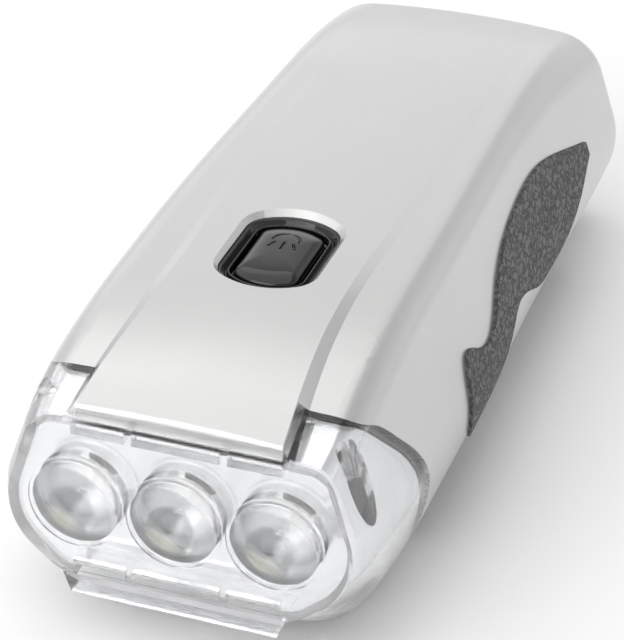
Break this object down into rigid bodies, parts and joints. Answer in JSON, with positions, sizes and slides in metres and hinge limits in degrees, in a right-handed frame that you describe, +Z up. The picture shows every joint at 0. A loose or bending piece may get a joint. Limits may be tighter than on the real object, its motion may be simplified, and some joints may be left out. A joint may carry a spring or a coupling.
{
  "type": "hand crank flashlight",
  "caption": "Hand-held flashlight with a flat silver body, clear front cover over round lenses, push button, side grips and a folding crank underneath.",
  "frame": {"origin": "on the surface the flashlight lies on, under the middle of its outline", "axes": "+X to the right seen from behind the lenses' back, +Y towards the rear end, +Z up through the button"},
  "size_m": [0.0488, 0.1185, 0.0345],
  "materials": {
    "silver_paint": "silver metallic paint on moulded plastic, satin",
    "grip_rubber": "dark grey rubber with a wavy leather-like grain",
    "clear_plastic": "clear polished polycarbonate",
    "mirror_film": "vacuum-metallised moulding",
    "led_epoxy": "clear epoxy",
    "black_gloss": "black polished plastic",
    "black_matt": "black moulded plastic",
    "seal_grey": "dark grey soft seal",
    "board_green": "circuit board with solder resist",
    "board_white": "circuit board with white solder resist",
    "steel": "plated steel",
    "brass": "turned brass",
    "gear_white": "natural acetal",
    "gear_plate": "grey moulded plastic",
    "magnet": "sintered ferrite",
    "copper": "enamelled copper winding",
    "cell_steel": "nickel-plated steel can"
  },
  "bodies": {
    "housing": {"battery_cell_1": "cell_steel", "battery_cell_2": "cell_steel", "battery_cell_3": "cell_steel", "battery_holder": "black_matt", "board_chips": "black_matt", "board_screws": "steel", "button_bezel": "black_gloss", "case_screws": "steel", "coil": "copper", "coil_bobbin": "gear_white", "contact_left": "steel", "contact_right": "steel", "cover_seal": "seal_grey", "crank_bush": "brass", "first_axle": "steel", "gearbox_plate": "gear_plate", "gearbox_screws": "steel", "grip_left": "grip_rubber", "grip_right": "grip_rubber", "lamp_board": "board_white", "lamp_screws": "steel", "led_centre": "led_epoxy", "led_left": "led_epoxy", "led_right": "led_epoxy", "lens_cover": "clear_plastic", "lower_shell": "silver_paint", "main_board": "board_green", "reflector": "mirror_film", "second_axle": "steel", "stator_lower": "steel", "stator_upper": "steel", "switch_body": "black_matt", "upper_shell": "silver_paint"},
    "button": {"button_cap": "black_gloss", "switch_plunger": "black_matt"},
    "crank": {"crank_arm": "black_matt", "crank_shaft": "steel", "crank_screw": "steel", "knob_pin": "steel", "drive_gear": "gear_white"},
    "knob_carrier": {"knob_axle": "steel"},
    "knob": {"crank_knob": "black_matt"},
    "first_gear": {"first_gear": "gear_white"},
    "second_gear": {"second_gear": "gear_white"},
    "rotor": {"rotor_shaft": "steel", "rotor_pinion": "brass", "rotor_magnet": "magnet"}
  },
  "joints": [
    {"name": "button_press", "type": "slide", "parent": "housing", "child": "button", "axis": [0, 0, -1], "range_m": [0, 0.0012], "stiffness_N_per_m": 900},
    {"name": "crank_spin", "type": "hinge", "parent": "housing", "child": "crank", "pos_m": [0, 0.006, 0.0038], "axis": [0, 0, 1], "continuous": true},
    {"name": "knob_fold", "type": "hinge", "parent": "crank", "child": "knob_carrier", "pos_m": [0, -0.0265, 0.0038], "axis": [-1, 0, 0], "range_deg": [0, 90]},
    {"name": "knob_spin", "type": "hinge", "parent": "knob_carrier", "child": "knob", "pos_m": [0, -0.0158, 0.0038], "axis": [0, 1, 0], "continuous": true},
    {"name": "first_gear_spin", "type": "hinge", "parent": "housing", "child": "first_gear", "pos_m": [0, 0.0255, 0.012], "axis": [0, 0, 1], "continuous": true},
    {"name": "second_gear_spin", "type": "hinge", "parent": "housing", "child": "second_gear", "pos_m": [-0.00952, 0.0363, 0.017], "axis": [0, 0, 1], "continuous": true},
    {"name": "rotor_spin", "type": "hinge", "parent": "housing", "child": "rotor", "pos_m": [0.00198, 0.03971, 0.02], "axis": [0, 0, 1], "continuous": true}
  ],
  "couplings": [
    {"joint": "first_gear_spin", "follows": "crank_spin", "ratio": -3.3333},
    {"joint": "second_gear_spin", "follows": "crank_spin", "ratio": 10},
    {"joint": "rotor_spin", "follows": "crank_spin", "ratio": -30}
  ]
}
